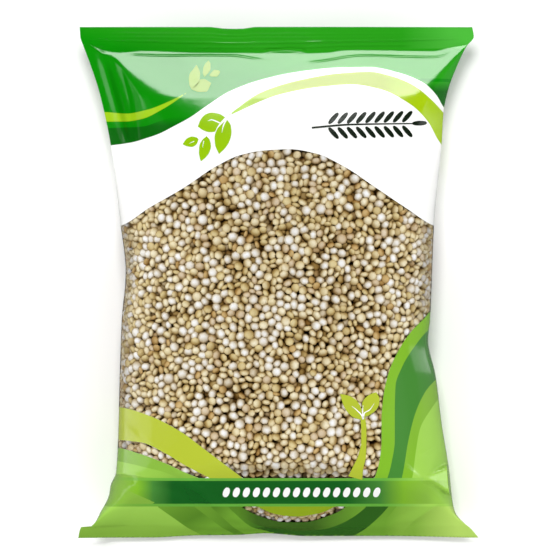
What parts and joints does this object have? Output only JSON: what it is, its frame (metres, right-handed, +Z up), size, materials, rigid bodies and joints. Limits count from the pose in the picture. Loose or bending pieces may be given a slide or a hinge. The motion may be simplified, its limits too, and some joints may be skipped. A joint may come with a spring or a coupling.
{
  "type": "pack of quinoa",
  "caption": "Sealed pillow pack of white quinoa in printed film with a clear window, lying on its back.",
  "frame": {"origin": "on the floor under the middle of the pack's box, on the flat seam of its back", "axes": "+Z up out of the printed face, +Y along the length towards the top seal, +X to the right of the printed face"},
  "size_m": [0.1006, 0.128, 0.0399],
  "materials": {
    "printed_film": "glossy printed film",
    "clear_film": "glossy clear film",
    "quinoa_seed": "dry seed"
  },
  "bodies": {
    "root": {"quinoa_pack": "printed_film"}
  },
  "joints": []
}
